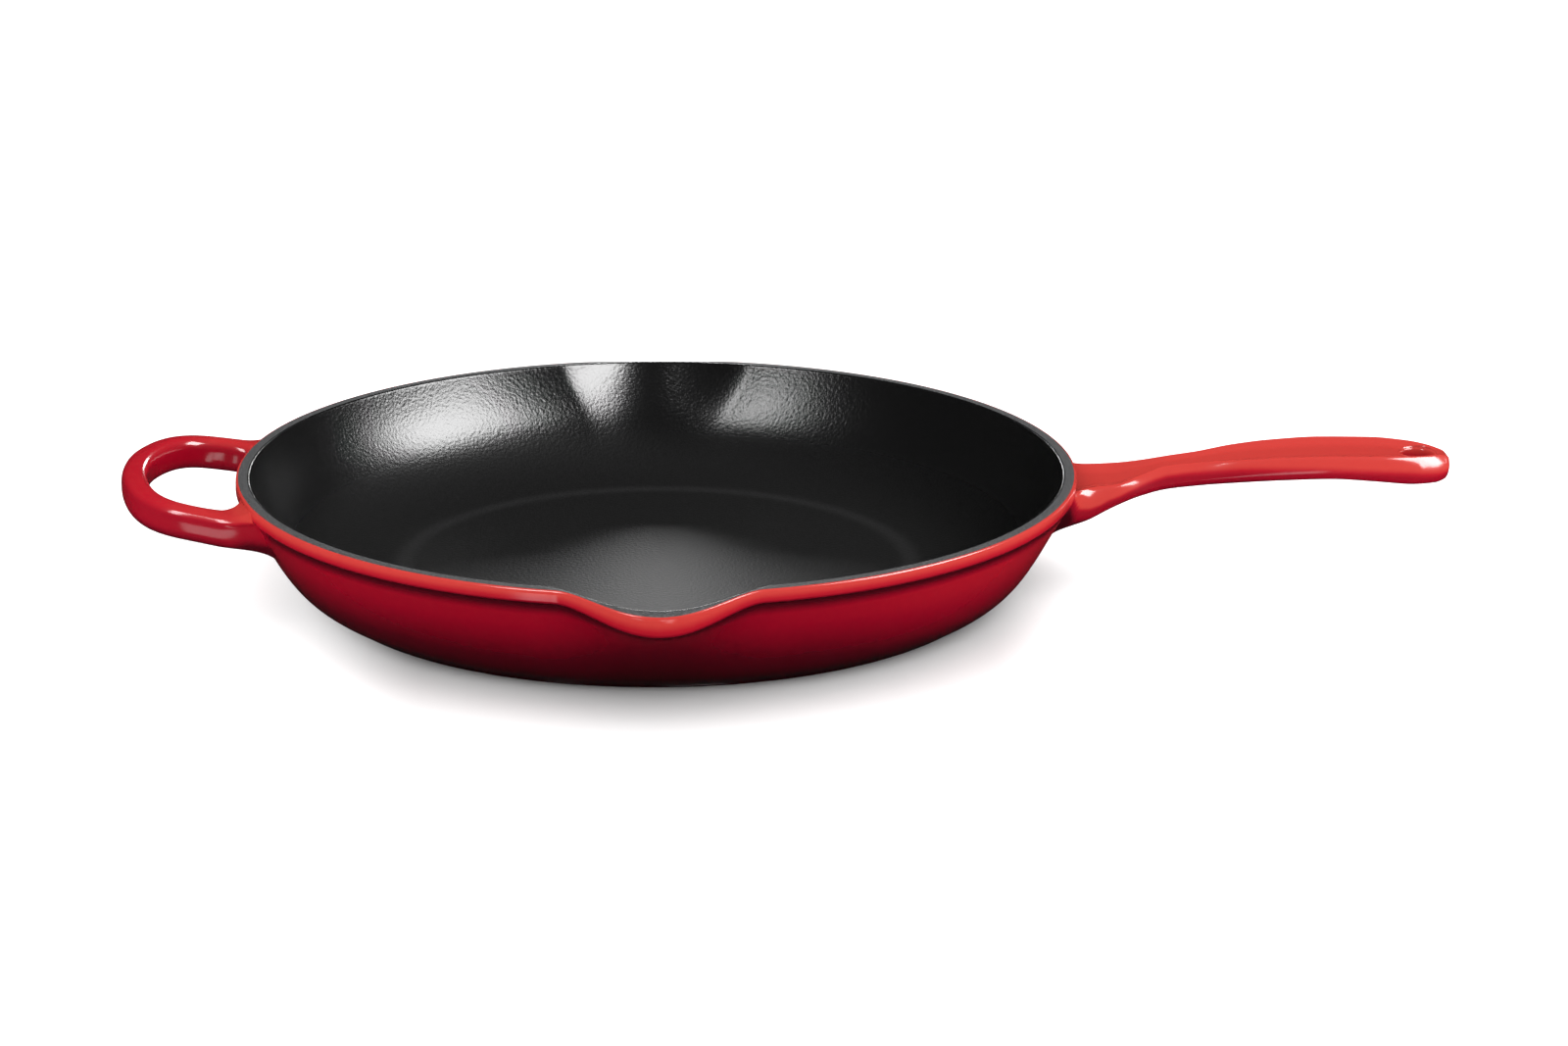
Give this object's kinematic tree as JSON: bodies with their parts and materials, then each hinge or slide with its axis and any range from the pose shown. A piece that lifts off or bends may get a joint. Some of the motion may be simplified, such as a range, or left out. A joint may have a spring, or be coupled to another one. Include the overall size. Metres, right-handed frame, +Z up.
{
  "type": "cast iron skillet",
  "caption": "Shallow round enamelled cast iron skillet with a long handle, a looped helper handle and a pouring lip on each side.",
  "frame": {"origin": "centre of the flat base that the pan stands on", "axes": "+Z up, +X along the long handle, -X towards the helper handle, the pouring lips on -Y and +Y"},
  "size_m": [0.4317, 0.2934, 0.0433],
  "materials": {
    "cast_iron": "as cast, under the enamel",
    "red_enamel": "gloss vitreous enamel, shaded from orange red at the rim to near black at the foot",
    "base_enamel": "satin vitreous enamel",
    "black_enamel": "satin black vitreous enamel with a fine orange peel",
    "grey_enamel": "matt speckled ground coat"
  },
  "bodies": {
    "root": {"bowl_casting": "cast_iron", "long_handle_casting": "cast_iron", "helper_handle_casting": "cast_iron", "exterior_enamel": "red_enamel", "base_enamel": "base_enamel", "interior_enamel": "black_enamel", "rim_enamel": "grey_enamel", "long_handle_enamel": "red_enamel", "helper_handle_enamel": "red_enamel"}
  },
  "joints": []
}
